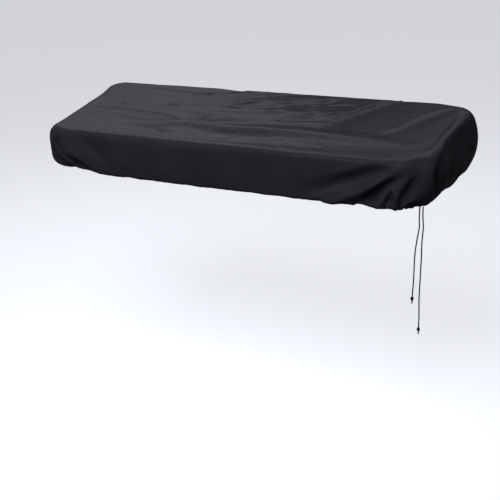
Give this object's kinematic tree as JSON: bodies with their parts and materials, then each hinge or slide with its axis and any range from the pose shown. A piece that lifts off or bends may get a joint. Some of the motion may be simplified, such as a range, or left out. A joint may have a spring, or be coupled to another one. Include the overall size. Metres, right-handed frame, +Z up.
{
  "type": "piano cover",
  "caption": "Fitted dust cover of thin smooth cloth for an electric piano: sloping top, hanging walls and a gathered hem drawn in under them, with hanging drawstring ends.",
  "frame": {"origin": "on the underside of the cloth at the middle of the top, where the instrument holds it up", "axes": "+X towards the right end of the cover as seen from its front, +Y towards its rear, +Z up"},
  "size_m": [1.047, 0.3645, 0.4738],
  "materials": {
    "cloth": "smooth black polyester dust-cover cloth, slight sheen",
    "cord": "black braided polyester cord, matte"
  },
  "bodies": {
    "root": {"cover_cloth": "cloth", "drawstring_front": "cord", "drawstring_rear": "cord", "knot_front": "cord", "knot_rear": "cord"}
  },
  "joints": []
}
